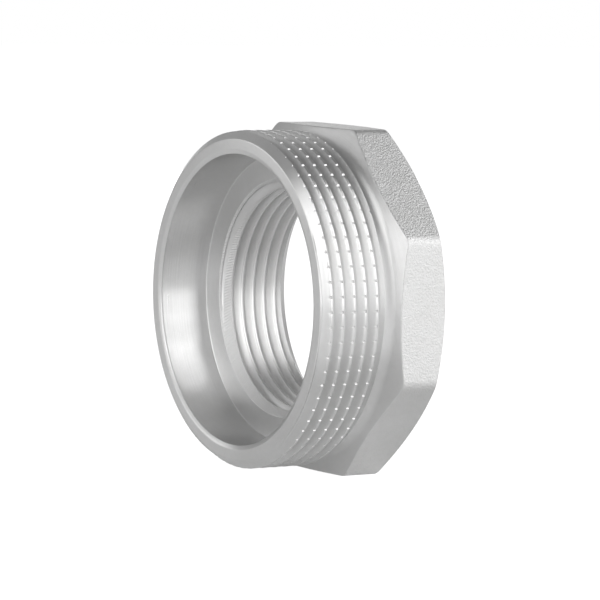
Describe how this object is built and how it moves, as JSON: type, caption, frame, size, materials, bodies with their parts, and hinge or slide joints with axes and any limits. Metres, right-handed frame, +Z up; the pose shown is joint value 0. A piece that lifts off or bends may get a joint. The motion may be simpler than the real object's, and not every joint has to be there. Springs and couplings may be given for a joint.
{
  "type": "reducing pipe bushing",
  "caption": "Reducing pipe bushing in one piece: octagonal wrenching head, serrated external pipe thread, counterbored mouth and smaller internal pipe thread.",
  "frame": {"origin": "on the bushing's axis, where the full external thread begins at the open end", "axes": "+X along the axis towards the head, so the external thread enters its fitting towards -X; +Z up, square to the head's uppermost flat; +Y completes a right-handed set"},
  "size_m": [0.0243, 0.061, 0.061],
  "materials": {
    "plated_brass": "satin nickel plate over brass: turned on the threads and cones, blasted on the flats"
  },
  "bodies": {
    "root": {"bushing": "plated_brass"}
  },
  "joints": []
}
